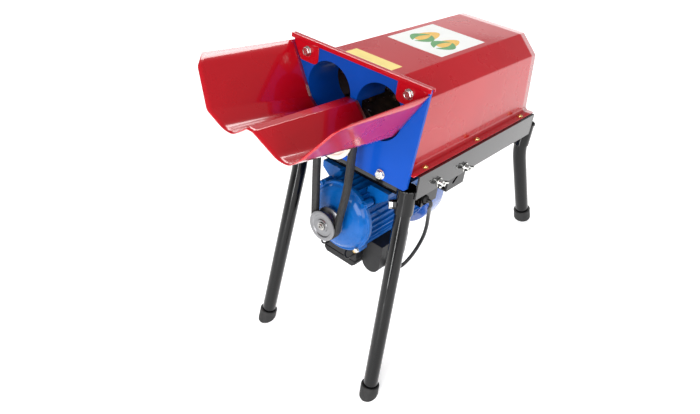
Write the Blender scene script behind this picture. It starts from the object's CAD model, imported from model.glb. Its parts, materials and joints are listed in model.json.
"""Visual model of a twin-port electric corn sheller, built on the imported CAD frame.

Pieces are laid out in the machine's own level frame (X right, Y from the feed end to the outlet,
Z up, rails level) and stood nose-up by the STANCE matrix, which comes from the drum's joint.
"""
import json
import math

import bmesh
import bpy
from mathutils import Matrix, Vector


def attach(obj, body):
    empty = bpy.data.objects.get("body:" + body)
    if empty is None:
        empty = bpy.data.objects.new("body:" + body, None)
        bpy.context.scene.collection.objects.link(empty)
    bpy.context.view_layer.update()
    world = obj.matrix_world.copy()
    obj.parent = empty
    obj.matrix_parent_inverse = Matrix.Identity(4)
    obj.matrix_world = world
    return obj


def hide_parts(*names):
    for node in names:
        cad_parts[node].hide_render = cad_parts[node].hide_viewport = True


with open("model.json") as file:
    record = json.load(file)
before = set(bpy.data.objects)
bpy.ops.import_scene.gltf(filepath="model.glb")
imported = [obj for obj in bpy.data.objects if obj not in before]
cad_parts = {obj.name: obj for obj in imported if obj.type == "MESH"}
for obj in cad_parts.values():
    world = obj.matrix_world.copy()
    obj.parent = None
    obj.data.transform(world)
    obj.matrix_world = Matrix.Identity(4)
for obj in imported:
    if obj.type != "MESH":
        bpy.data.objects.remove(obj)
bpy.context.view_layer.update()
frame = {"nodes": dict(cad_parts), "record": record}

# ---- the machine frame -----------------------------------------------------------------------
DRUM_Z, DRUM_STATION = 0.033, 0.200
drum_joint = next(j for j in frame["record"]["behaviour"]["joints"] if j["name"] == "drum_spin")
ahead = Vector(drum_joint["axis"]).normalized()
right = Vector((1, 0, 0))
STANCE = Matrix((right, ahead, right.cross(ahead))).transposed().to_4x4()
STANCE.translation = Vector(drum_joint["pos_m"]) - STANCE.to_3x3() @ Vector((0, DRUM_STATION, DRUM_Z))

# ---- dimensions shared with the CAD, in metres -------------------------------------------------
SHEET = 0.0015
PORT_X, PORT_Z, PORT_RADIUS, DUCT_LENGTH = 0.051, 0.0786, 0.045, 0.070
HOOD_FRONT, HOOD_REAR = 0.0045, 0.401
HOOD_TOP, HOOD_SHOULDER, HOOD_FOOT, HOOD_FLANGE_X = (0.068, 0.138), (0.102, 0.106), (0.112, 0.006), 0.130
SCREW_X, SCREW_Y = 0.123, (0.044, 0.200, 0.358)
PLATE_FACE, PLATE_BACK, PLATE_TOP, PLATE_BOTTOM = -0.0015, 0.0040, 0.1445, -0.028
PLATE_TOP_X, PLATE_BOTTOM_X = 0.134, 0.1235
EAR_BOLT, LOW_BOLT = (0.1007, 0.1265), (0.073, -0.019)
DRUM_RADIUS, TOOTH_RADIUS, DRUM_FRONT, DRUM_REAR = 0.034, 0.042, 0.016, 0.385
SHAFT_RADIUS = 0.0075
BELT_Y, BELT_DEPTH, BELT_WIDTH, BELT_TAPER = -0.034, 0.009, 0.0150, 0.0030
DRUM_PULLEY, MOTOR_PULLEY, PULLEY_WIDTH = 0.040, 0.0275, 0.022
MOTOR_X, MOTOR_Z, MOTOR_RADIUS, FIN_RADIUS = 0.0, -0.140, 0.061, 0.066
MOTOR_FRONT, MOTOR_REAR, MOTOR_SHAFT = 0.012, 0.160, 0.007
COVER_RADIUS, COVER_COLLAR, COVER_REAR = 0.078, 0.0636, 0.217
FOOT_SPREAD, MOTOR_BOLT_Y = 0.056, (0.050, 0.140)
BOX_LEFT, BOX_RIGHT, BOX_BOTTOM = -0.042, 0.032, -0.246
CAPACITOR_X, CAPACITOR_Z, CAPACITOR_RADIUS = 0.0535, -0.230, 0.020
LIP_FRONT, LIP_BACK, LIP_LOW, LIP_HIGH, LIP_WALL = -0.0055, 0.0055, 0.1395, 0.1465, 0.0012
ALONG = (0, 1, 0)                 # the direction of both shafts, in the machine frame
DRUM_AXIS, MOTOR_AXIS = (0, 0, DRUM_Z), (MOTOR_X, 0, MOTOR_Z)
BAR_Z, BAR_THICK = -0.066, 0.004
WING_Y, WING_Z = {"front": 0.077, "rear": 0.156}, -0.034
PRESS_HINGE = (0.060, 0.129)
LEG_RADIUS, SOCKET_RADIUS, SOCKET_TOP, SOCKET_BOTTOM = 0.01345, 0.0158, -0.030, -0.078
CLAMP_Z, CLAMP_SEAT = -0.063, 0.0205
LEGS = {
    "front": ((0.1158, 0.0165), (0.1398, -0.0225, -0.4580), (-1, -1)),
    "rear": ((0.1180, 0.4134), (0.1480, 0.4670, -0.2630), (-1, 1)),
}
TRAY_BACK = -0.0024
TRAY_FOLDS = [                    # (x, z) at the plate, (x, y, z) at the mouth, radius of the fold
    ((0.0100, 0.0825), (0.0060, -0.2130, 0.0915), 0.004),
    ((0.0500, 0.0420), (0.0450, -0.2040, 0.0640), 0.030),
    ((0.0690, 0.0420), (0.0660, -0.2030, 0.0640), 0.030),
    ((0.0860, 0.0550), (0.0900, -0.2110, 0.0850), 0.014),
    ((0.1225, 0.1180), (0.1270, -0.1970, 0.1340), 0.012),
    ((0.1325, 0.1360), (0.1395, -0.1800, 0.1460), 0.0),
]
LEAD_ROUTE = [
    (0.0841, 0.066, -0.2350), (0.0910, 0.0665, -0.2348), (0.0990, 0.074, -0.2280), (0.1060, 0.084, -0.2120),
    (0.1110, 0.095, -0.1900), (0.1145, 0.102, -0.1660), (0.1170, 0.101, -0.1420), (0.1205, 0.093, -0.1180),
    (0.1265, 0.081, -0.0980), (0.1335, 0.067, -0.0810), (0.1408, 0.0560, -0.0670),
    (0.1412, 0.0508, -0.0585), (0.1376, 0.0500, -0.0570),
]
GROMMET_YZ = (0.0500, -0.0570)
LEAD_RADIUS = 0.0032
BODY_OF = {node: body for body, nodes in frame["record"]["behaviour"]["bodies"].items() for node in nodes}
SLOT_OF = {part["node"]: part["material_slot"] for part in frame["record"]["subparts"]}
SIDES = {"left": -1, "right": 1}
CARRIAGE = "motor_carriage"       # the body that slides to slacken the belt


# ---- materials ---------------------------------------------------------------------------------
def surface(name, colour, roughness, metallic=0.0, coat=0.0, coat_ior=1.5, gloss=0.5, tint=0.05, grain=35.0,
            rough_spread=0.05, bump=0.0, bump_scale=400.0, turned=False, chips=None):
    """A finish with colour and roughness variation, fine bump, and optional turning marks or chips."""
    made = bpy.data.materials.new(name)
    made.use_nodes = True
    nodes, links = made.node_tree.nodes, made.node_tree.links
    shader = nodes["Principled BSDF"]
    shader.inputs["Metallic"].default_value = metallic
    shader.inputs["Specular IOR Level"].default_value = gloss
    shader.inputs["Coat Weight"].default_value = coat
    shader.inputs["Coat Roughness"].default_value = 0.06
    shader.inputs["Coat IOR"].default_value = coat_ior
    place = nodes.new("ShaderNodeTexCoord").outputs["Object"]

    def noise(scale, detail=4.0, source=place):
        node = nodes.new("ShaderNodeTexNoise")
        node.inputs["Scale"].default_value = scale
        node.inputs["Detail"].default_value = detail
        links.new(source, node.inputs["Vector"])
        return node.outputs["Fac"]

    def spread(value, low, high, start=0.3, end=0.7):
        node = nodes.new("ShaderNodeMapRange")
        node.inputs["From Min"].default_value = start
        node.inputs["From Max"].default_value = end
        node.inputs["To Min"].default_value = low
        node.inputs["To Max"].default_value = high
        links.new(value, node.inputs["Value"])
        return node.outputs["Result"]

    def mix(factor, first, second):
        node = nodes.new("ShaderNodeMix")
        node.data_type = "RGBA"
        links.new(factor, node.inputs["Factor"])
        for socket, value in (("A", first), ("B", second)):
            target = [s for s in node.inputs if s.name == socket and s.type == "RGBA"][0]
            if hasattr(value, "is_output"):
                links.new(value, target)
            else:
                target.default_value = (*value, 1.0)
        return [s for s in node.outputs if s.type == "RGBA"][0]

    rings = None
    if turned:
        parts = nodes.new("ShaderNodeSeparateXYZ")
        links.new(place, parts.inputs[0])
        flat = nodes.new("ShaderNodeCombineXYZ")
        links.new(parts.outputs["X"], flat.inputs["X"])
        links.new(parts.outputs["Z"], flat.inputs["Z"])
        length = nodes.new("ShaderNodeVectorMath")
        length.operation = "LENGTH"
        links.new(flat.outputs[0], length.inputs[0])
        radial = nodes.new("ShaderNodeCombineXYZ")
        links.new(length.outputs["Value"], radial.inputs["X"])
        rings = noise(2600.0, 2.0, radial.outputs[0])
    dark = tuple(c * (1 - tint) for c in colour)
    light = tuple(min(1.0, c * (1 + tint)) for c in colour)
    tone = mix(spread(rings if turned else noise(grain), 0.0, 1.0), dark, light)
    if chips:
        mask = spread(noise(chips[1], 6.0), 0.0, 1.0, chips[2], chips[2] + 0.03)
        tone = mix(mask, tone, chips[0])
    links.new(tone, shader.inputs["Base Color"])
    rough = spread(rings if turned else noise(grain * 2.3), max(0.02, roughness - rough_spread),
                   roughness + rough_spread)
    links.new(rough, shader.inputs["Roughness"])
    if bump:
        node = nodes.new("ShaderNodeBump")
        node.inputs["Strength"].default_value = bump
        node.inputs["Distance"].default_value = 0.0005
        links.new(rings if turned else noise(bump_scale, 3.0), node.inputs["Height"])
        links.new(node.outputs["Normal"], shader.inputs["Normal"])
    return made


RED = surface("red_enamel", (0.53, 0.001, 0.010), 0.28, coat=0.8, coat_ior=1.5, gloss=0.3, tint=0.06,
              grain=7.0, rough_spread=0.03, bump=0.004, bump_scale=160.0)
INSIDE_RED = surface("hood_inside", (0.050, 0.0006, 0.0015), 0.60, gloss=0.1, tint=0.15, grain=30.0,
                     bump=0.05)
BLUE = surface("blue_enamel", (0.001, 0.070, 0.440), 0.36, coat=0.25, coat_ior=1.4, gloss=0.1, tint=0.08,
               grain=10.0, rough_spread=0.03, bump=0.010, bump_scale=180.0)
MOTOR_BLUE = surface("motor_enamel", (0.002, 0.100, 0.380), 0.28, coat=0.45, coat_ior=1.45, gloss=0.1,
                     tint=0.10, grain=30.0, rough_spread=0.03, bump=0.020, bump_scale=260.0)
COVER_BLUE = surface("cover_enamel", (0.006, 0.090, 0.420), 0.28, coat=1.0, coat_ior=1.7, tint=0.06,
                     grain=10.0, rough_spread=0.03, bump=0.010, bump_scale=180.0)
BLACK = surface("black_enamel", (0.003, 0.003, 0.0033), 0.20, coat=0.65, coat_ior=1.4, gloss=0.1, tint=0.20,
                grain=12.0, rough_spread=0.03, bump=0.008, bump_scale=160.0)
RAIL_BLACK = surface("rail_enamel", (0.003, 0.003, 0.0033), 0.24, coat=0.9, coat_ior=1.45, gloss=0.3,
                     tint=0.20, grain=12.0, rough_spread=0.03, bump=0.008, bump_scale=160.0)
RUBBER = surface("foot_rubber", (0.010, 0.010, 0.010), 0.62, tint=0.25, grain=60.0, bump=0.25,
                 bump_scale=900.0)
BELT = surface("belt_fabric", (0.018, 0.018, 0.018), 0.66, tint=0.30, grain=160.0, bump=0.5,
               bump_scale=1400.0, chips=((0.10, 0.10, 0.09), 900.0, 0.66))
PLASTIC = surface("moulded_plastic", (0.012, 0.012, 0.013), 0.42, gloss=0.35, tint=0.15, grain=40.0,
                  bump=0.25, bump_scale=1100.0)
SHEATH = surface("lead_sheath", (0.010, 0.010, 0.011), 0.34, tint=0.15, grain=50.0, bump=0.06,
                 bump_scale=500.0)
ZINC = surface("bright_zinc", (0.78, 0.78, 0.76), 0.24, metallic=1.0, tint=0.10, grain=160.0, bump=0.08,
               bump_scale=700.0)
BRASSY = surface("yellow_zinc", (0.72, 0.50, 0.20), 0.28, metallic=1.0, tint=0.25, grain=240.0, bump=0.06,
                 bump_scale=700.0)
STEEL = surface("turned_steel", (0.30, 0.30, 0.31), 0.34, metallic=1.0, tint=0.10, bump=0.04, turned=True)
SHAFTING = surface("ground_steel", (0.50, 0.49, 0.47), 0.28, metallic=1.0, tint=0.12, grain=90.0, bump=0.05)
WORKED = surface("worked_steel", (0.085, 0.055, 0.036), 0.48, metallic=0.7, tint=0.45, grain=70.0,
                 rough_spread=0.14, bump=0.35, bump_scale=260.0, chips=((0.55, 0.52, 0.48), 120.0, 0.64))
CREAM = surface("cream_enamel", (0.74, 0.71, 0.62), 0.38, coat=0.4, tint=0.10, grain=60.0, bump=0.15,
                bump_scale=380.0)
LABEL_WHITE = surface("label_white", (0.86, 0.87, 0.85), 0.35, tint=0.02, grain=30.0, bump=0.02)
LABEL_YELLOW = surface("label_yellow", (0.88, 0.70, 0.18), 0.38, tint=0.06, grain=40.0, bump=0.02)
LABEL_GREEN = surface("label_green", (0.07, 0.30, 0.08), 0.40, tint=0.15, grain=90.0, bump=0.02)
LABEL_GOLD = surface("label_gold", (0.80, 0.46, 0.05), 0.40, tint=0.12, grain=300.0, bump=0.02)


# ---- mesh helpers --------------------------------------------------------------------------------
def piece(name, shape, finish, body, slot=None, replaces=(), origin=None, bevel=0.0, segments=2,
          sharp=32.0, solid=0.0):
    """Turn a bmesh in machine coordinates into a piece that rides on a body."""
    bmesh.ops.recalc_face_normals(shape, faces=shape.faces)
    place = Matrix.Identity(4)
    if origin:
        bmesh.ops.translate(shape, verts=shape.verts, vec=-Vector(origin))
        place = STANCE @ Matrix.Translation(Vector(origin))
    else:
        bmesh.ops.transform(shape, matrix=STANCE, verts=shape.verts)
    mesh = bpy.data.meshes.new(name)
    shape.to_mesh(mesh)
    shape.free()
    mesh.shade_smooth()
    mesh.set_sharp_from_angle(angle=math.radians(sharp))
    mesh.materials.append(finish)
    thing = bpy.data.objects.new(name, mesh)
    thing.matrix_world = place
    bpy.context.scene.collection.objects.link(thing)
    if solid:
        shell = thing.modifiers.new("Sheet", "SOLIDIFY")
        shell.thickness = abs(solid)
        shell.offset = -1.0 if solid > 0 else 1.0
        shell.use_even_offset = True
    if bevel:
        edge = thing.modifiers.new("Edges", "BEVEL")
        edge.width = bevel
        edge.segments = segments
        edge.limit_method = "ANGLE"
        edge.angle_limit = math.radians(40.0)
        edge.harden_normals = False
    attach(thing, body)
    if replaces:
        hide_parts(*replaces)
    return thing


def stand_in(node, shape, finish, name=None, **how):
    """A piece that replaces a CAD node, on the body and material slot that the record gives the node."""
    return piece(name or f"{node}_finished", shape, finish, BODY_OF[node], SLOT_OF[node], (node,), **how)


def axes_for(direction):
    forward = Vector(direction).normalized()
    helper = Vector((0, 0, 1)) if abs(forward.z) < 0.9 else Vector((1, 0, 0))
    side = forward.cross(helper).normalized()
    return forward, side, side.cross(forward)


def turn(shape, profile, centre, direction, segments=64, closed=False, phase=0.0):
    """Turn (radius, distance along) about an axis; closed profiles make rings."""
    forward, side, up = axes_for(direction)
    rings = []
    for radius, along in profile:
        spot = Vector(centre) + forward * along
        if radius == 0.0:
            rings.append([shape.verts.new(spot)] * segments)
            continue
        angles = (phase + 2 * math.pi * i / segments for i in range(segments))
        rings.append([
            shape.verts.new(spot + (side * math.cos(t) + up * math.sin(t)) * radius)
            for t in angles
        ])
    for near, far in (zip(rings, rings[1:] + rings[:1]) if closed else zip(rings, rings[1:])):
        for i in range(segments):
            j = (i + 1) % segments
            corners = list(dict.fromkeys([near[i], near[j], far[j], far[i]]))
            if len(corners) > 2:
                shape.faces.new(corners)


def spot_on(axis, first, second, along):
    return Vector({"x": (along, first, second), "y": (first, along, second),
                   "z": (first, second, along)}[axis])


def prism(shape, outline, axis, start, end):
    base = [shape.verts.new(spot_on(axis, u, v, start)) for u, v in outline]
    face = shape.faces.new(base)
    lifted = bmesh.ops.extrude_face_region(shape, geom=[face])["geom"]
    tops = [item for item in lifted if isinstance(item, bmesh.types.BMVert)]
    bmesh.ops.translate(shape, verts=tops, vec=spot_on(axis, 0.0, 0.0, end - start))


def arc(centre, radius, start, end, steps):
    angles = (math.radians(start + (end - start) * i / steps) for i in range(steps + 1))
    return [(centre[0] + radius * math.cos(a), centre[1] + radius * math.sin(a)) for a in angles]


def rounded(points, radii, steps=5, closed=False):
    """Round the corners of a polyline; radii is one number or one per point."""
    points = [Vector(p) for p in points]
    radii = radii if isinstance(radii, (list, tuple)) else [radii] * len(points)
    result = []
    for i, (corner, radius) in enumerate(zip(points, radii)):
        if not closed and i in (0, len(points) - 1) or radius == 0.0:
            result.append(corner)
            continue
        before, after = points[i - 1] - corner, points[(i + 1) % len(points)] - corner
        half = before.angle(after) / 2
        cut = min(radius / math.tan(half), before.length * 0.46, after.length * 0.46)
        start, end = corner + before.normalized() * cut, corner + after.normalized() * cut
        for k in range(steps + 1):
            t = k / steps
            result.append((start * (1 - t) + corner * t) * (1 - t) + (corner * (1 - t) + end * t) * t)
    return result


def flat(points):
    return [(p[0], p[1]) for p in points]


def smooth_path(route, per_span=4):
    """A Catmull-Rom curve through the route."""
    route = [Vector(p) for p in route]
    padded = [route[0] * 2 - route[1]] + route + [route[-1] * 2 - route[-2]]
    samples = []
    for a, b, c, d in zip(padded, padded[1:], padded[2:], padded[3:]):
        for k in range(per_span):
            t = k / per_span
            samples.append(0.5 * (2 * b + (c - a) * t + (2 * a - 5 * b + 4 * c - d) * t ** 2
                                  + (3 * b - 3 * c + d - a) * t ** 3))
    return samples + [route[-1]]


def tube(shape, path, radius, segments=24, inner=0.0, closed=False):
    """A tube or rod along a path, its section carried round without twist."""
    points = [Vector(p) for p in path]
    _, side, _ = axes_for(points[1] - points[0])
    shells = []
    for size in ((radius, inner) if inner else (radius,)):
        rings, across = [], side
        for i, point in enumerate(points):
            if closed:
                tangent = (points[(i + 1) % len(points)] - points[i - 1]).normalized()
            else:
                tangent = (points[min(i + 1, len(points) - 1)] - points[max(i - 1, 0)]).normalized()
            across = (across - tangent * across.dot(tangent)).normalized()
            over = tangent.cross(across)
            rings.append([shape.verts.new(point + (across * math.cos(t) + over * math.sin(t)) * size)
                          for t in (2 * math.pi * k / segments for k in range(segments))])
        shells.append(rings)
        for near, far in zip(rings, rings[1:] + (rings[:1] if closed else [])):
            for i in range(segments):
                j = (i + 1) % segments
                shape.faces.new([near[i], near[j], far[j], far[i]])
    if closed:
        return
    for end in (0, -1):
        if not inner:
            shape.faces.new(shells[0][end])
            continue
        for i in range(segments):
            j = (i + 1) % segments
            shape.faces.new([shells[0][end][i], shells[0][end][j], shells[1][end][j], shells[1][end][i]])


def combined(shape, tools):
    """Apply Boolean tools, given as (operation, bmesh), to a bmesh and return the result."""
    made = []
    for item in [shape] + [tool for _, tool in tools]:
        bmesh.ops.recalc_face_normals(item, faces=item.faces)
        mesh = bpy.data.meshes.new("working")
        item.to_mesh(mesh)
        item.free()
        thing = bpy.data.objects.new("working", mesh)
        bpy.context.scene.collection.objects.link(thing)
        made.append(thing)
    for (operation, _), tool in zip(tools, made[1:]):
        step = made[0].modifiers.new("step", "BOOLEAN")
        step.operation, step.solver, step.object = operation, "EXACT", tool
    graph = bpy.context.evaluated_depsgraph_get()
    result = bmesh.new()
    result.from_mesh(made[0].evaluated_get(graph).to_mesh())
    bmesh.ops.remove_doubles(result, verts=result.verts, dist=1e-6)
    bmesh.ops.dissolve_degenerate(result, edges=result.edges, dist=1e-6)
    for thing in made:
        mesh = thing.data
        bpy.data.objects.remove(thing, do_unlink=True)
        bpy.data.meshes.remove(mesh)
    return result


def solid_rod(radius, start, end):
    """The profile of a plain cylinder, for turn()."""
    return [(0.0, start), (radius, start), (radius, end), (0.0, end)]


def rods(spots, axis, start, end, radius, segments=40):
    """Cutters for round holes."""
    shape = bmesh.new()
    direction = spot_on(axis, 0, 0, 1)
    for u, v in spots:
        turn(shape, solid_rod(radius, 0.0, end - start),
             spot_on(axis, u, v, start), direction, segments)
    return shape


def refined(node, finish, bevel):
    """The CAD node's own shape, cleaned up and given soft edges."""
    shape = bmesh.new()
    shape.from_mesh(frame["nodes"][node].data)
    bmesh.ops.transform(shape, matrix=STANCE.inverted(), verts=shape.verts)
    bmesh.ops.remove_doubles(shape, verts=shape.verts, dist=1e-5)
    bmesh.ops.dissolve_limit(shape, angle_limit=math.radians(2.0), verts=shape.verts, edges=shape.edges)
    return stand_in(node, shape, finish, bevel=bevel)


def hex_fastener(shape, seat, direction, across_flats=0.013, head=0.0052, washer=0.0085, stud=0.0):
    """A hex head on a washer, standing on `seat` and looking along direction."""
    forward = Vector(direction).normalized()
    seat = Vector(seat)
    turn(shape, solid_rod(washer, 0.0, 0.0012), seat, forward, 40)
    base = seat + forward * 0.0012
    corner = across_flats / math.sqrt(3)
    turn(shape, [(0.0, 0.0), (corner, 0.0), (corner, head * 0.80), (corner * 0.90, head),
                 (corner * 0.62, head), (corner * 0.55, head * 0.90), (0.0, head * 0.90)], base, forward, 6)
    if stud:
        ridges = [(0.0, 0.0)]
        for i in range(int(stud / 0.0010)):
            ridges += [(0.0040, i * 0.0010), (0.0036, i * 0.0010 + 0.0005)]
        turn(shape, ridges + [(0.0032, stud), (0.0, stud)], base + forward * head * 0.9, forward, 24)


# ---- frame and legs ------------------------------------------------------------------------------
def build_frame():
    for node in ("frame_rail_left", "frame_rail_right", "frame_cross_rail_front", "frame_cross_rail_rear"):
        refined(node, RAIL_BLACK, 0.0007)
    for end, (socket_xy, ground, bolt_side) in LEGS.items():
        for side, sign in SIDES.items():
            build_leg(f"{end}_{side}", sign, socket_xy, ground, bolt_side)


def build_leg(tag, sign, socket_xy, ground, bolt_side):
    x, y = sign * socket_xy[0], socket_xy[1]
    top, knee = Vector((x, y, SOCKET_TOP - 0.004)), Vector((x, y, SOCKET_BOTTOM - 0.012))
    toe = Vector((sign * ground[0], ground[1], ground[2]))
    slope = (toe - knee).normalized()
    path = [Vector(p) for p in rounded([top, knee, toe - slope * 0.011], 0.5, 10)]
    leg = bmesh.new()
    tube(leg, path, LEG_RADIUS, 40, LEG_RADIUS - 0.0016)
    stand_in(f"leg_{tag}", leg, BLACK, name=f"leg_tube_{tag}", bevel=0.0003)

    height = SOCKET_TOP - SOCKET_BOTTOM
    inner = SOCKET_RADIUS - 0.0019
    ring = bmesh.new()
    turn(ring, [(inner, 0.0006), (inner + 0.0006, 0.0), (SOCKET_RADIUS - 0.0006, 0.0),
                (SOCKET_RADIUS, 0.0006),
                (SOCKET_RADIUS, height - 0.0006), (SOCKET_RADIUS - 0.0006, height), (inner, height)],
         (x, y, SOCKET_BOTTOM), (0, 0, 1), 56, closed=True)
    outward = Vector((sign * bolt_side[0], bolt_side[1], 0.0)).normalized()
    centre = Vector((x, y, CLAMP_Z))
    boss, hole = bmesh.new(), bmesh.new()
    turn(boss, [(0.0, 0.0), (0.0080, 0.0), (0.0080, 0.0050), (0.0074, 0.0056), (0.0, 0.0056)],
         centre + outward * (SOCKET_RADIUS - 0.0012), outward, 6)
    turn(hole, solid_rod(0.0044, 0.0, 0.024), centre + outward * 0.008, outward, 24)
    ring = combined(ring, [("UNION", boss), ("DIFFERENCE", hole)])
    stand_in(f"leg_socket_{tag}", ring, BLACK)
    weld = bmesh.new()
    tube(weld, [Vector((x, y, SOCKET_TOP - 0.0012)) + Vector((math.cos(a), math.sin(a), 0.0))
                * (SOCKET_RADIUS + 0.0003 * math.sin(13 * a)) for a in
                (2 * math.pi * i / 64 for i in range(64))], 0.0014, 8, closed=True)
    piece(f"leg_socket_weld_{tag}", weld, BLACK, "machine", "black_paint")
    bolt = bmesh.new()
    hex_fastener(bolt, centre + outward * (CLAMP_SEAT - 0.0012), outward, washer=0.0062)
    shank = CLAMP_SEAT - LEG_RADIUS - 0.0006
    turn(bolt, solid_rod(0.0040, 0.0, shank), centre + outward * CLAMP_SEAT, -outward, 24)
    stand_in(f"leg_clamp_bolt_{tag}", bolt, ZINC, name=f"leg_clamp_screw_{tag}")

    foot = bmesh.new()
    fit = LEG_RADIUS + 0.0004
    turn(foot, [(0.0, -0.0120), (0.0166, -0.0120), (0.0172, -0.0105), (0.0172, -0.0030), (0.0174, 0.0020),
                (0.0172, 0.0120), (0.0171, 0.0170), (0.0174, 0.0190), (0.0172, 0.0210), (0.0164, 0.0220),
                (fit, 0.0220), (fit, 0.0100), (0.0, 0.0100)], toe, -slope, 48)
    floor = STANCE.inverted()
    cut = bmesh.ops.bisect_plane(foot, geom=foot.verts[:] + foot.edges[:] + foot.faces[:], dist=1e-6,
                                 plane_co=floor @ Vector((0, 0, 0)),
                                 plane_no=floor.to_3x3() @ Vector((0, 0, -1)), clear_outer=True)["geom_cut"]
    bmesh.ops.holes_fill(foot, edges=[e for e in cut if isinstance(e, bmesh.types.BMEdge)])
    stand_in(f"foot_{tag}", foot, RUBBER, name=f"foot_cap_{tag}")


# ---- body panels ---------------------------------------------------------------------------------
def build_hood():
    half = [(HOOD_FLANGE_X, 0.0)] + arc((HOOD_FOOT[0] + 0.006, HOOD_FOOT[1]), 0.006, 270, 182, 10)
    half += flat(rounded([half[-1] + (0,), (*HOOD_SHOULDER, 0), (*HOOD_TOP, 0), (0, HOOD_TOP[1], 0)],
                         [0, 0.0045, 0.0045, 0], 6))[1:]
    line = half + [(-x, z) for x, z in reversed(half[:-1])]
    stations = [HOOD_FRONT + (HOOD_REAR - HOOD_FRONT) * i / 24 for i in range(25)]
    hood = bmesh.new()
    rows = []
    for y in stations:
        swell = math.sin(math.pi * (y - HOOD_FRONT) / (HOOD_REAR - HOOD_FRONT))
        rows.append([hood.verts.new((x, y, z - 0.0007 * swell * max(0.0, 1 - (x / 0.06) ** 2) * (z > 0.13)))
                     for x, z in line])
    for near, far in zip(rows, rows[1:]):
        for i in range(len(line) - 1):
            hood.faces.new([near[i], near[i + 1], far[i + 1], far[i]])
    skin = stand_in("hood", hood, RED, sharp=60.0, solid=SHEET)
    face_out(skin, Vector((0, 0.2, 0.05)))
    skin.data.materials.append(INSIDE_RED)
    skin.modifiers["Sheet"].material_offset = 1
    for side, sign in SIDES.items():
        for i, y in enumerate(SCREW_Y):
            screw = bmesh.new()
            spot = Vector((sign * SCREW_X, y, 0.0001))
            turn(screw, [(0.0, 0.0), (0.0058, 0.0), (0.0058, 0.0007), (0.0042, 0.0008), (0.0041, 0.0016),
                         (0.0034, 0.0027), (0.0020, 0.0032), (0.0012, 0.0033), (0.0009, 0.0020),
                         (0.0, 0.0020)],
                 spot, (0, 0, 1), 28)
            turn(screw, [(0.0, 0.0), (0.0025, 0.0), (0.0025, 0.0120), (0.0, 0.0140)], spot, (0, 0, -1), 16)
            piece(f"hood_screw_{side}_{i + 1}", screw, BRASSY, "machine", "zinc")


def face_out(thing, inside):
    """Make an open sheet's faces look away from a point inside it, so that its thickness goes inwards."""
    mesh = thing.data
    inside = STANCE @ inside
    votes = sum((poly.center - inside).dot(poly.normal) * poly.area for poly in mesh.polygons)
    if votes < 0:
        mesh.flip_normals()


def build_labels():
    lift = HOOD_TOP[1] - 0.0001
    for name, (x, y0, y1), finish in (("label_white", (0.056, 0.142, 0.278), LABEL_WHITE),
                                      ("label_yellow", (0.046, 0.022, 0.050), LABEL_YELLOW)):
        label = bmesh.new()
        outline = flat(rounded([(-x, y0, 0), (x, y0, 0), (x, y1, 0), (-x, y1, 0)], 0.0015, 3, closed=True))
        prism(label, outline, "z", lift - 0.0006, lift + 0.0002)
        piece(name, label, finish, "machine")
    top = lift + 0.00022
    for i, (x, length, width) in enumerate(((-0.020, 0.066, 0.017), (0.024, 0.060, 0.015))):
        ear = bmesh.new()
        outline = [(x + width * math.cos(a) * (1 - 0.25 * math.sin(a)), 0.210 + length / 2 * math.sin(a))
                   for a in (2 * math.pi * k / 40 for k in range(40))]
        prism(ear, outline, "z", lift, top)
        piece(f"label_ear_{i + 1}", ear, LABEL_GOLD, "machine")
        for side, sign in SIDES.items():
            husk = bmesh.new()
            leaf = [(x + sign * (0.002 + 0.020 * math.sin(math.pi * t) ** 0.8), 0.168 + 0.052 * t) for t in
                    (k / 12 for k in range(13))]
            leaf += [(x + sign * (0.001 + 0.0070 * math.sin(math.pi * t)), 0.168 + 0.052 * t) for t in
                     (k / 12 for k in range(11, 0, -1))]
            prism(husk, leaf, "z", lift, top + 0.00006)
            piece(f"label_husk_{i + 1}_{side}", husk, LABEL_GREEN, "machine")


def plate_outline(inset):
    low, high = PLATE_BOTTOM + inset, PLATE_TOP - inset
    right_half = [(PLATE_BOTTOM_X - inset - 0.004, low), (PLATE_BOTTOM_X - inset, low + 0.004),
                  (PLATE_TOP_X - inset, high)]
    return right_half + [(-x, z) for x, z in reversed(right_half)]


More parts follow.
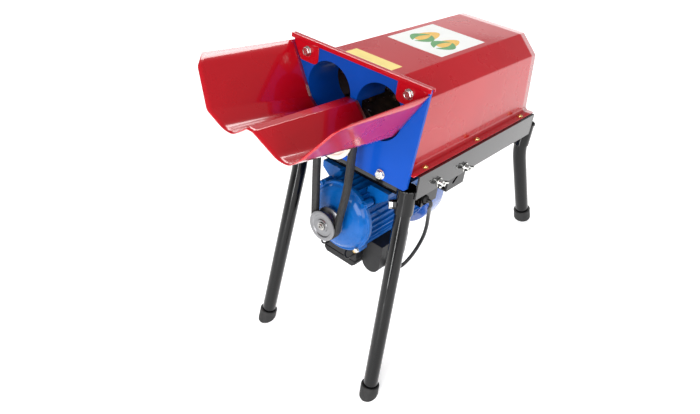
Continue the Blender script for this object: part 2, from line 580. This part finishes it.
def build_front_plate():
    plate, hollow = bmesh.new(), bmesh.new()
    prism(plate, plate_outline(0.0), "y", PLATE_FACE, PLATE_BACK)
    prism(hollow, plate_outline(SHEET), "y", 0.0, PLATE_BACK + 0.01)
    ports = rods([(s * PORT_X, PORT_Z) for s in (-1, 1)], "y", PLATE_FACE - 0.01, 0.01, PORT_RADIUS, 112)
    small = rods([(s * b[0], b[1]) for s in (-1, 1) for b in (EAR_BOLT, LOW_BOLT)], "y", -0.012, 0.01,
                 0.0045, 24)
    shaft = rods([(0, DRUM_Z)], "y", -0.012, 0.01, SHAFT_RADIUS + 0.003, 40)
    plate = combined(plate, [("DIFFERENCE", t) for t in (hollow, ports, small, shaft)])
    stand_in("front_plate", plate, BLUE, bevel=0.0005)

    front, back, low, high, wall = LIP_FRONT, LIP_BACK, LIP_LOW, LIP_HIGH, LIP_WALL
    outer = rounded([(front, low, 0), (front, high, 0), (back, high, 0), (back, low, 0)],
                    [0, 0.0024, 0.0024, 0], 5)
    inner = rounded([(back - wall, low, 0), (back - wall, high - wall, 0), (front + wall, high - wall, 0),
                     (front + wall, low, 0)], [0, 0.0014, 0.0014, 0], 5)
    lip = bmesh.new()
    prism(lip, flat(outer) + flat(inner), "x", -0.137, 0.137)
    stand_in("front_lip", lip, RED, bevel=0.0004)

    for side, sign in SIDES.items():
        duct, relief = bmesh.new(), bmesh.new()
        turn(duct, [(PORT_RADIUS, 0.0), (PORT_RADIUS + SHEET, 0.0), (PORT_RADIUS + SHEET, DUCT_LENGTH),
                    (PORT_RADIUS, DUCT_LENGTH)], (sign * PORT_X, 0.0004, PORT_Z), ALONG, 112, closed=True)
        turn(relief, solid_rod(TOOTH_RADIUS + 0.003, 0.0, 0.11),
             (0, DRUM_FRONT - 0.003, DRUM_Z), ALONG, 96)
        duct = combined(duct, [("DIFFERENCE", relief)])
        stand_in(f"feed_duct_{side}", duct, BLUE)
        bolt = bmesh.new()
        hex_fastener(bolt, (sign * EAR_BOLT[0], TRAY_BACK - 0.0016, EAR_BOLT[1]), (0, -1, 0))
        stand_in(f"tray_bolt_{side}", bolt, ZINC, name=f"tray_screw_{side}")
        bolt = bmesh.new()
        hex_fastener(bolt, (sign * LOW_BOLT[0], PLATE_FACE - 0.0002, LOW_BOLT[1]), (0, -1, 0))
        stand_in(f"plate_bolt_{side}", bolt, ZINC, name=f"plate_screw_{side}")


# ---- feed tray -----------------------------------------------------------------------------------
def tray_section(t):
    """The tray's rounded outline from rim to rim at a share t of the way from plate to mouth."""
    half = [Vector((p[0] + (m[0] - p[0]) * t, TRAY_BACK + (m[1] - TRAY_BACK) * t, p[1] + (m[2] - p[1]) * t))
            for p, m, _ in TRAY_FOLDS]
    line = [Vector((-p.x, p.y, p.z)) for p in reversed(half)] + half
    radii = [r * (0.35 + 0.65 * t) for _, _, r in TRAY_FOLDS[::-1] + TRAY_FOLDS]
    return rounded(line, radii, 8)


def build_feed_tray():
    tray = bmesh.new()
    rows = [[tray.verts.new(p) for p in tray_section(i / 24)] for i in range(25)]
    for near, far in zip(rows, rows[1:]):
        for i in range(len(near) - 1):
            tray.faces.new([near[i], near[i + 1], far[i + 1], far[i]])
    skin = stand_in("feed_tray", tray, RED, sharp=75.0, solid=SHEET)
    if sum(poly.normal.z * poly.area for poly in skin.data.polygons) < 0:
        skin.data.flip_normals()
    for side, sign in SIDES.items():
        outline = rounded([(0.0780, 0.1388, 0), (0.0780, 0.1090, 0), (0.1150, 0.1090, 0),
                           (0.1215, 0.1180, 0),
                           (0.1312, 0.1350, 0), (0.1312, 0.1388, 0)], [0, 0.011, 0.004, 0, 0, 0], 8,
                          closed=True)
        ear = bmesh.new()
        prism(ear, [(sign * x, z) for x, z, _ in outline], "y", TRAY_BACK - 0.0014, TRAY_BACK + 0.0004)
        ear = combined(ear, [("DIFFERENCE", rods([(sign * EAR_BOLT[0], EAR_BOLT[1])], "y", -0.02, 0.0,
                                                 0.0045, 24))])
        piece(f"feed_tray_ear_{side}", ear, RED, "machine", "red_paint", bevel=0.0004)


# ---- drum and drive ------------------------------------------------------------------------------
def build_drum():
    bore, inner = SHAFT_RADIUS + 0.0004, DRUM_RADIUS - 0.003
    drum = bmesh.new()
    turn(drum, [(bore, DRUM_FRONT), (DRUM_RADIUS - 0.0006, DRUM_FRONT), (DRUM_RADIUS, DRUM_FRONT + 0.0006),
                (DRUM_RADIUS, DRUM_REAR - 0.0006), (DRUM_RADIUS - 0.0006, DRUM_REAR), (bore, DRUM_REAR),
                (bore, DRUM_REAR - 0.004), (inner, DRUM_REAR - 0.004), (inner, DRUM_FRONT + 0.004),
                (bore, DRUM_FRONT + 0.004)], DRUM_AXIS, ALONG, 72, closed=True)
    for row in range(4):
        for i in range(8):
            angle = math.pi / 2 * row + i * math.radians(23.0)
            y = 0.030 + i * 0.046 + row * 0.006
            stud = bmesh.ops.create_cube(drum, size=1.0)
            verts = stud["verts"]
            bmesh.ops.scale(drum, verts=verts, vec=(TOOTH_RADIUS - DRUM_RADIUS + 0.001, 0.012, 0.007))
            edges = list({e for v in verts for e in v.link_edges})
            verts = list({v for f in bmesh.ops.bevel(drum, geom=edges, offset=0.0010, segments=2,
                                                     affect="EDGES")["faces"]
                          for v in f.verts} | {v for v in verts if v.is_valid})
            turned = Matrix.Translation((0, y, DRUM_Z)) @ Matrix.Rotation(angle, 4, "Y")
            shift = turned @ Matrix.Translation(((TOOTH_RADIUS + DRUM_RADIUS - 0.001) / 2, 0, 0))
            bmesh.ops.transform(drum, matrix=shift, verts=verts)
    stand_in("threshing_drum", drum, WORKED, origin=DRUM_AXIS)
    shaft = bmesh.new()
    turn(shaft, [(0.0, -0.0480), (0.0066, -0.0480), (SHAFT_RADIUS, -0.0470), (SHAFT_RADIUS, 0.4130),
                 (0.0066, 0.4140), (0.0, 0.4140)], DRUM_AXIS, ALONG, 48)
    stand_in("drum_shaft", shaft, SHAFTING, origin=DRUM_AXIS)
    for end, y in (("front", 0.0004), ("rear", 0.3997)):
        bearing = bmesh.new()
        turn(bearing, rounded_ring([(bore, 0.0), (0.0205, 0.0), (0.0205, 0.0040), (0.0170, 0.0050),
                                    (0.0170, 0.0120), (bore, 0.0120)], 0.0006), (0, y, DRUM_Z), ALONG, 56,
             closed=True)
        stand_in(f"drum_bearing_{end}", bearing, SHAFTING)


def rounded_ring(profile, radius):
    return flat(rounded([(r, a, 0) for r, a in profile], radius, 2, closed=True))


def pulley(radius, bore, hub):
    half, groove = PULLEY_WIDTH / 2, BELT_WIDTH / 2 + 0.0004
    floor = radius + 0.001 - BELT_DEPTH - 0.0008
    return rounded_ring([(bore, -half), (hub, -half), (hub + 0.0006, -half + 0.0018),
                         (radius - 0.008, -half + 0.0018),
                         (radius - 0.0065, -half), (radius, -half), (radius, -groove),
                         (floor, BELT_TAPER - groove),
                         (floor, groove - BELT_TAPER), (radius, groove), (radius, half), (bore, half)],
                        0.0005)


def build_drive():
    wheel = bmesh.new()
    turn(wheel, pulley(DRUM_PULLEY, SHAFT_RADIUS + 0.0004, 0.016), (0, BELT_Y, DRUM_Z), ALONG, 96,
         closed=True)
    stand_in("drum_pulley", wheel, CREAM, origin=DRUM_AXIS)
    wheel = bmesh.new()
    turn(wheel, pulley(MOTOR_PULLEY, MOTOR_SHAFT + 0.0004, 0.0115), (MOTOR_X, BELT_Y, MOTOR_Z), ALONG, 96,
         closed=True)
    stand_in("motor_pulley", wheel, STEEL, origin=MOTOR_AXIS)
    cap = bmesh.new()
    face = BELT_Y - PULLEY_WIDTH / 2
    turn(cap, [(0.0, 0.0), (0.0072, 0.0), (0.0072, 0.0007), (0.0046, 0.0009), (0.0045, 0.0028),
               (0.0040, 0.0034),
               (0.0024, 0.0034), (0.0022, 0.0014), (0.0, 0.0014)], (MOTOR_X, face - 0.0012, MOTOR_Z),
         (0, -1, 0), 40)
    piece("motor_pulley_screw", cap, SHAFTING, "motor_rotor", origin=MOTOR_AXIS)

    upper, lower = DRUM_PULLEY + 0.001, MOTOR_PULLEY + 0.001
    span = Vector((MOTOR_X, MOTOR_Z - DRUM_Z))
    lean = math.degrees(math.atan2(span.y, span.x))
    wrap = math.degrees(math.acos((upper - lower) / span.length))

    def loop(depth):
        over = arc((0, DRUM_Z), upper - depth, lean + wrap, lean + 360 - wrap, 56)
        under = arc((MOTOR_X, MOTOR_Z), lower - depth, lean - wrap, lean + wrap, 40)
        points = list(over)
        for start, end, bow, arc_points in ((over[-1], under[0], 0.0006, under),
                                            (under[-1], over[0], 0.0042, [])):
            start, end = Vector(start), Vector(end)
            out = Vector(((end - start).y, -(end - start).x)).normalized()
            for k in range(1, 20):
                t = k / 20
                points.append(tuple(start.lerp(end, t) + out * bow * math.sin(math.pi * t) ** 2))
            points += arc_points
        return points

    belt = bmesh.new()
    half, low = BELT_WIDTH / 2, BELT_WIDTH / 2 - BELT_TAPER
    section = [(0.0, -half + 0.0008), (0.0008, -half), (BELT_DEPTH - 0.0006, -low),
               (BELT_DEPTH, -low + 0.0006),
               (BELT_DEPTH, low - 0.0006), (BELT_DEPTH - 0.0006, low), (0.0008, half), (0.0, half - 0.0008)]
    rings = [[belt.verts.new((x, BELT_Y + across, z)) for x, z in loop(depth)] for depth, across in section]
    for near, far in zip(rings, rings[1:] + rings[:1]):
        for i in range(len(near)):
            j = (i + 1) % len(near)
            belt.faces.new([near[i], near[j], far[j], far[i]])
    stand_in("v_belt", belt, BELT, sharp=50.0)


def build_presses():
    for node, finish in (("screen", WORKED), ("cob_press_left", WORKED), ("cob_press_right", WORKED)):
        carried(node, finish)
    refined("rear_wall", RED, 0.0004)
    for side, sign in SIDES.items():
        carried(f"press_pin_{side}", ZINC)
        coil = bmesh.new()
        turns, steps = 9, 20
        helix = [Vector((sign * PRESS_HINGE[0] + 0.0052 * math.cos(a), 0.160 + 0.056 * i / (turns * steps),
                         PRESS_HINGE[1] + 0.0052 * math.sin(a)))
                 for i, a in ((k, 2 * math.pi * k / steps) for k in range(turns * steps + 1))]
        tube(coil, helix, 0.0009, 10)
        piece(f"press_spring_{side}", coil, SHAFTING, "machine")


def carried(node, finish):
    """Keep a CAD node as it is, with a better finish."""
    thing = frame["nodes"][node]
    if not thing.material_slots:
        thing.data.materials.append(finish)
    for slot in thing.material_slots:
        slot.material = finish


# ---- motor carriage ------------------------------------------------------------------------------
def build_straps():
    for end in ("front", "rear"):
        refined(f"motor_cross_bar_{end}", BLACK, 0.0006)
        for side, sign in SIDES.items():
            y = WING_Y[end]
            nut = bmesh.new()
            thread = [(0.0, 0.1352)]
            for i in range(12):
                thread += [(0.0030, 0.1352 + i * 0.0010), (0.0027, 0.1357 + i * 0.0010)]
            turn(nut, thread + [(0.0, 0.1476)], (0, y, WING_Z), (sign, 0, 0), 20)
            turn(nut, [(0.0, 0.1352), (0.0078, 0.1352), (0.0078, 0.1362), (0.0064, 0.1363),
                       (0.0060, 0.1385),
                       (0.0050, 0.1428), (0.0034, 0.1436), (0.0, 0.1436)], (0, y, WING_Z), (sign, 0, 0), 32)
            for flip in (-1, 1):
                lobe = [(0.1372, 0.0040), (0.1385, 0.0085), (0.1410, 0.0118), (0.1445, 0.0130),
                        (0.1468, 0.0120),
                        (0.1470, 0.0100), (0.1450, 0.0082), (0.1432, 0.0058), (0.1425, 0.0036)]
                outline = rounded([(sign * x, y + flip * w, 0) for x, w in lobe], 0.0016, 3, closed=True)
                prism(nut, flat(outline), "z", WING_Z - 0.0014, WING_Z + 0.0014)
            turn(nut, solid_rod(0.0062, 0.1232, 0.1268), (0, y, WING_Z),
                 (sign, 0, 0), 6)
            turn(nut, solid_rod(0.0030, 0.1268, 0.1352), (0, y, WING_Z),
                 (sign, 0, 0), 20)
            stand_in(f"wing_nut_{end}_{side}", nut, ZINC)
    for side, sign in SIDES.items():
        for i, y in enumerate(MOTOR_BOLT_Y):
            bolt = bmesh.new()
            spot = Vector((MOTOR_X + sign * FOOT_SPREAD, y, BAR_Z + 0.0002))
            hex_fastener(bolt, spot, (0, 0, 1), across_flats=0.012, head=0.0048, washer=0.0078)
            turn(bolt, solid_rod(0.0037, 0.0, 0.0210), spot, (0, 0, -1), 20)
            piece(f"motor_foot_bolt_{side}_{i + 1}", bolt, ZINC, CARRIAGE)


def build_motor():
    fins, barrel = 36, MOTOR_RADIUS
    outline = []
    for i in range(fins):
        for share, radius in ((0.0, barrel), (0.25, barrel), (0.50, barrel), (0.56, barrel + 0.0006),
                              (0.66, FIN_RADIUS - 0.0004), (0.70, FIN_RADIUS), (0.78, FIN_RADIUS),
                              (0.82, FIN_RADIUS - 0.0004), (0.92, barrel + 0.0006)):
            angle = 2 * math.pi * (i + share) / fins
            outline.append((MOTOR_X + radius * math.cos(angle), MOTOR_Z + radius * math.sin(angle)))
    body, bore = bmesh.new(), bmesh.new()
    prism(body, outline, "y", MOTOR_FRONT + 0.0002, MOTOR_REAR)
    turn(bore, solid_rod(0.050, -0.05, 0.30), MOTOR_AXIS, ALONG, 64)
    feet = []
    top = BAR_Z - BAR_THICK - 0.0004
    for sign in SIDES.values():
        foot = bmesh.new()
        pad = [(0.034, top - 0.020), (0.048, top - 0.0085), (0.074, top - 0.0085), (0.074, top),
               (0.034, top)]
        prism(foot, [(MOTOR_X + sign * x, z) for x, z in pad], "y", 0.030, 0.156)
        feet.append(("UNION", foot))
        for y in (0.030, 0.093, 0.151):
            rib = bmesh.new()
            side = [(0.030, top - 0.034), (0.050, top - 0.030), (0.0735, top - 0.012),
                    (0.0735, top - 0.004), (0.030, top - 0.004)]
            prism(rib, [(MOTOR_X + sign * x, z) for x, z in side], "y", y - 0.0001, y + 0.0050)
            feet.append(("UNION", rib))
    body = combined(body, feet + [("DIFFERENCE", bore)])
    stand_in("motor_body", body, MOTOR_BLUE, origin=MOTOR_AXIS)

    shaft_fit = MOTOR_SHAFT + 0.0004
    dome = bmesh.new()
    profile = [(shaft_fit, 0.0115), (0.0640, 0.0115), (0.0655, 0.0100), (0.0655, 0.0042), (0.0645, 0.0026),
               (0.0625, 0.0024), (0.0612, 0.0032), (0.0598, 0.0022), (0.0570, -0.0022), (0.0510, -0.0062),
               (0.0420, -0.0092), (0.0310, -0.0110), (0.0215, -0.0118), (0.0190, -0.0128),
               (0.0180, -0.0148), (shaft_fit, -0.0150)]
    turn(dome, rounded_ring(profile, 0.0012), MOTOR_AXIS, ALONG, 112, closed=True)
    stand_in("motor_front_shield", dome, MOTOR_BLUE, origin=MOTOR_AXIS, sharp=50.0)
    rear = bmesh.new()
    turn(rear, rounded_ring([(shaft_fit, 0.0), (0.0610, 0.0), (0.0610, 0.0090), (0.0200, 0.0110),
                             (shaft_fit, 0.0110)], 0.0010), (MOTOR_X, MOTOR_REAR + 0.0004, MOTOR_Z), ALONG,
         96, closed=True)
    stand_in("motor_rear_shield", rear, MOTOR_BLUE, origin=MOTOR_AXIS)
    for i, angle in enumerate((-45, 45, 135, 225)):
        lug, bolt = bmesh.new(), bmesh.new()
        turned = Matrix.Translation(MOTOR_AXIS) @ Matrix.Rotation(-math.radians(angle), 4, "Y")
        outline = rounded([(0.0600, -0.0085, 0), (0.0700, -0.0060, 0), (0.0715, 0.0, 0),
                           (0.0700, 0.0060, 0), (0.0600, 0.0085, 0)], [0, 0.004, 0.004, 0.004, 0], 4)
        prism(lug, flat(outline), "y", 0.0030, 0.0230)
        bmesh.ops.transform(lug, matrix=turned, verts=lug.verts)
        piece(f"motor_lug_{i + 1}", lug, MOTOR_BLUE, CARRIAGE, "motor_paint", bevel=0.0009)
        hex_fastener(bolt, (0.0660, 0.0029, 0.0), (0, -1, 0), across_flats=0.0080, head=0.0035,
                     washer=0.0047)
        bmesh.ops.transform(bolt, matrix=turned, verts=bolt.verts)
        piece(f"motor_lug_bolt_{i + 1}", bolt, ZINC if i == 0 else MOTOR_BLUE, CARRIAGE)

    wall, radius, collar, start = 0.0014, COVER_RADIUS, COVER_COLLAR, MOTOR_REAR + 0.0050
    cover = bmesh.new()
    outside = rounded([(collar, start, 0), (collar, 0.1700, 0), (radius, 0.1745, 0),
                       (radius, COVER_REAR, 0), (0.0, COVER_REAR, 0)], [0, 0.002, 0.003, 0.010, 0], 7)
    within = rounded([(collar - wall, start, 0), (collar - wall, 0.1712, 0), (radius - wall, 0.1755, 0),
                      (radius - wall, COVER_REAR - wall, 0), (0.0, COVER_REAR - wall, 0)],
                     [0, 0.002, 0.003, 0.009, 0], 7)
    turn(cover, flat(outside) + flat(within[::-1]), MOTOR_AXIS, ALONG, 96, closed=True)
    slots = bmesh.new()
    for ring, (inner, outer, count) in enumerate(((0.017, 0.034, 8), (0.039, 0.057, 14))):
        for i in range(count):
            angle = 2 * math.pi * (i + 0.5 * ring) / count
            outline = rounded([(inner, -0.0028, 0), (outer, -0.0034, 0), (outer, 0.0034, 0),
                               (inner, 0.0028, 0)],
                              0.0028, 3, closed=True)
            spin = Matrix.Rotation(angle, 2)
            spots = [spin @ Vector((p.x, p.y)) for p in outline]
            prism(slots, [(MOTOR_X + p.x, MOTOR_Z + p.y) for p in spots], "y", COVER_REAR - 0.008,
                  COVER_REAR + 0.004)
    cover = combined(cover, [("DIFFERENCE", slots)])
    stand_in("motor_fan_cover", cover, COVER_BLUE, origin=MOTOR_AXIS)
    for i, angle in enumerate((30, 150, 270)):
        screw = bmesh.new()
        a = math.radians(angle)
        out = Vector((math.cos(a), 0, math.sin(a)))
        turn(screw, [(0.0, 0.0), (0.0030, 0.0), (0.0029, 0.0010), (0.0018, 0.0017), (0.0, 0.0018)],
             Vector((MOTOR_X, start + 0.0030, MOTOR_Z)) + out * (collar - 0.0002), out, 24)
        piece(f"fan_cover_screw_{i + 1}", screw, ZINC, CARRIAGE)
    carried("motor_fan", PLASTIC)
    carried("motor_rotor", SHAFTING)


# ---- electrics -----------------------------------------------------------------------------------
def saddle():
    shape = bmesh.new()
    turn(shape, solid_rod(FIN_RADIUS + 0.0006, -0.05, 0.3),
         MOTOR_AXIS, ALONG, 96)
    return shape


def build_electrics():
    left, right_side, bottom, inside = BOX_LEFT, BOX_RIGHT, BOX_BOTTOM, MOTOR_Z - 0.050
    seam = bottom + 0.0120
    box = bmesh.new()
    prism(box, [(left, inside), (left, seam + 0.0006), (right_side, seam + 0.0006), (right_side, inside)],
          "y", 0.022, 0.092)
    box = combined(box, [("DIFFERENCE", saddle())])
    stand_in("terminal_box", box, PLASTIC, bevel=0.0008)
    lid = bmesh.new()
    section = rounded([(left - 0.0006, seam, 0), (left - 0.0006, bottom + 0.006, 0),
                       (left + 0.006, bottom, 0),
                       (right_side - 0.006, bottom, 0), (right_side + 0.0006, bottom + 0.006, 0),
                       (right_side + 0.0006, seam, 0)], [0, 0.002, 0.002, 0.002, 0.002, 0], 3)
    prism(lid, flat(section), "y", 0.0214, 0.0926)
    piece("terminal_lid", lid, PLASTIC, CARRIAGE, "black_plastic", bevel=0.0008)
    for i, (x, y) in enumerate(((left + 0.012, 0.030), (right_side - 0.012, 0.030), (left + 0.012, 0.084),
                                (right_side - 0.012, 0.084))):
        screw = bmesh.new()
        turn(screw, [(0.0, 0.0), (0.0034, 0.0), (0.0033, 0.0009), (0.0020, 0.0016), (0.0008, 0.0017),
                     (0.0, 0.0009)], (x, y, bottom), (0, 0, -1), 24)
        piece(f"terminal_lid_screw_{i + 1}", screw, ZINC, CARRIAGE)

    x, z, radius = CAPACITOR_X, CAPACITOR_Z, CAPACITOR_RADIUS
    cover = bmesh.new()
    section = arc((x, z), radius, 180, 360, 40) + [(x + radius, MOTOR_Z - 0.046),
                                                   (x - radius, MOTOR_Z - 0.046)]
    prism(cover, section, "y", 0.040, 0.118)
    rim = bmesh.new()
    prism(rim, arc((x, z), radius + 0.002, 180, 360, 40) + [(x + radius + 0.002, MOTOR_Z - 0.046),
                                                            (x - radius - 0.002, MOTOR_Z - 0.046)], "y",
          0.0560, 0.0568)
    groove = combined(rim, [("DIFFERENCE", inset_cover(x, z, radius - 0.0005))])
    cover = combined(cover, [("DIFFERENCE", saddle()), ("DIFFERENCE", groove)])
    stand_in("capacitor_cover", cover, PLASTIC, bevel=0.0012, segments=3)
    gland = bmesh.new()
    turn(gland, [(0.0, 0.0), (0.0072, 0.0), (0.0075, 0.0004), (0.0075, 0.0041), (0.0071, 0.0045),
                 (0.0056, 0.0050),
                 (0.0052, 0.0075), (0.0048, 0.0095), (0.0036, 0.0095), (0.0034, 0.0060), (0.0, 0.0060)],
         (x + radius + 0.0004, LEAD_ROUTE[0][1], LEAD_ROUTE[0][2]), (1, 0, 0), 40)
    for i in range(10):
        a = 2 * math.pi * i / 10
        spot = (x + radius + 0.0024, LEAD_ROUTE[0][1] + 0.0075 * math.cos(a),
                LEAD_ROUTE[0][2] + 0.0075 * math.sin(a))
        turn(gland, solid_rod(0.0006, -0.0017, 0.0017), spot, (1, 0, 0), 6)
    stand_in("lead_gland", gland, PLASTIC)
    outer, inner = 0.1315, 0.1275
    grommet = bmesh.new()
    turn(grommet, rounded_ring([(0.0034, inner - 0.0014), (0.0078, inner - 0.0014),
                                (0.0078, inner - 0.0004),
                                (0.0053, inner - 0.0004), (0.0053, outer + 0.0004),
                                (0.0068, outer + 0.0004),
                                (0.0064, outer + 0.0024), (0.0048, outer + 0.0050),
                                (0.0034, outer + 0.0050)], 0.0003),
         (0.0, *GROMMET_YZ), (1, 0, 0), 40, closed=True)
    stand_in("lead_grommet", grommet, RUBBER)
    lead = bmesh.new()
    tube(lead, smooth_path(LEAD_ROUTE + [(0.1262, *GROMMET_YZ)], 5), LEAD_RADIUS, 20)
    stand_in("motor_lead", lead, SHEATH)

    earth = bmesh.new()
    hex_fastener(earth, (0.0300, 0.0212, -0.2080), (0, -1, 0), across_flats=0.0060, head=0.0028,
                 washer=0.0040)
    piece("earth_screw", earth, BRASSY, CARRIAGE)
    loops = (
        ("tail_right", [(0.0290, 0.0240, -0.2160), (0.0275, 0.0165, -0.2185), (0.0245, 0.0120, -0.2230),
                        (0.0190, 0.0110, -0.2245), (0.0130, 0.0140, -0.2215), (0.0110, 0.0205, -0.2160)]),
        ("tail_left", [(-0.0380, 0.0240, -0.2080), (-0.0395, 0.0160, -0.2110), (-0.0420, 0.0115, -0.2170),
                       (-0.0400, 0.0105, -0.2230), (-0.0370, 0.0150, -0.2260), (-0.0350, 0.0240, -0.2260)]),
    )
    for name, route in loops:
        wire = bmesh.new()
        tube(wire, smooth_path(route, 5), 0.0017, 14)
        piece(f"terminal_{name}", wire, SHEATH, CARRIAGE)


def inset_cover(x, z, radius):
    shape = bmesh.new()
    prism(shape, arc((x, z), radius, 180, 360, 40) + [(x + radius, MOTOR_Z - 0.040),
                                                      (x - radius, MOTOR_Z - 0.040)],
          "y", 0.050, 0.062)
    return shape


# ---- studio --------------------------------------------------------------------------------------
def build_studio():
    floor = bmesh.new()
    bmesh.ops.create_grid(floor, x_segments=8, y_segments=8, size=9.0)
    mesh = bpy.data.meshes.new("studio_floor")
    floor.to_mesh(mesh)
    floor.free()
    sweep = bpy.data.objects.new("studio_floor", mesh)
    sweep.location = (0, 0, -0.0004)
    bpy.context.scene.collection.objects.link(sweep)
    pale = surface("studio_paper", (0.86, 0.86, 0.86), 0.70, tint=0.01, grain=3.0)
    shader = pale.node_tree.nodes["Principled BSDF"]
    shader.inputs["Emission Color"].default_value = (1.0, 1.0, 1.0, 1.0)
    shader.inputs["Emission Strength"].default_value = FLOOR_GLOW
    mesh.materials.append(pale)

    world = bpy.data.worlds.new("studio")
    world.use_nodes = True
    world.node_tree.nodes["Background"].inputs["Color"].default_value = (1.0, 1.0, 1.0, 1.0)
    world.node_tree.nodes["Background"].inputs["Strength"].default_value = WORLD_STRENGTH
    bpy.context.scene.world = world

    target = Vector((0.0, 0.05, 0.35))
    for name, spot, power, size in LAMPS:
        light = bpy.data.lights.new(name, "AREA")
        light.energy, light.shape = power, "RECTANGLE"
        light.size, light.size_y = size
        lamp = bpy.data.objects.new(name, light)
        lamp.location = spot
        lamp.rotation_euler = (target - Vector(spot)).to_track_quat("-Z", "Y").to_euler()
        bpy.context.scene.collection.objects.link(lamp)


def build_camera():
    """The viewpoint, stated in the machine frame."""
    azimuth, elevation, roll = 0.646, 0.5822, 0.1335
    spot = Vector((0.5565, -0.7143, 0.4694))
    back = Vector((math.sin(azimuth) * math.cos(elevation), -math.cos(azimuth) * math.cos(elevation),
                   math.sin(elevation)))
    level = Vector((math.cos(azimuth), math.sin(azimuth), 0.0))
    above = back.cross(level)
    across = level * math.cos(roll) + above * math.sin(roll)
    upward = above * math.cos(roll) - level * math.sin(roll)
    matrix = Matrix((across, upward, back)).transposed().to_4x4()
    matrix.translation = spot
    lens = bpy.data.cameras.new("camera")
    lens.sensor_width, lens.sensor_fit = 36.0, "HORIZONTAL"
    lens.lens, lens.shift_x, lens.shift_y = 32.2416, 0.00266, 0.00610
    lens.clip_start, lens.clip_end = 0.02, 60.0
    camera = bpy.data.objects.new("camera", lens)
    camera.matrix_world = STANCE @ matrix
    bpy.context.scene.collection.objects.link(camera)
    bpy.context.scene.camera = camera


FLOOR_GLOW, WORLD_STRENGTH = 0.45, 0.26
LAMPS = (                         # name, place, watts, size
    ("key_softbox", (-1.6, 2.2, 2.2), 92.0, (2.4, 1.6)),
    ("front_softbox", (0.6, -2.6, 2.0), 66.0, (2.0, 1.4)),
    ("right_softbox", (2.4, -0.4, 1.5), 30.0, (1.4, 1.2)),
    ("low_strip", (0.45, -2.0, 0.42), 9.0, (0.22, 0.7)),
)

bpy.context.scene.view_settings.view_transform = "Standard"
build_camera()
build_frame()
build_hood()
build_labels()
build_front_plate()
build_feed_tray()
build_drum()
build_drive()
build_presses()
build_straps()
build_motor()
build_electrics()
build_studio()
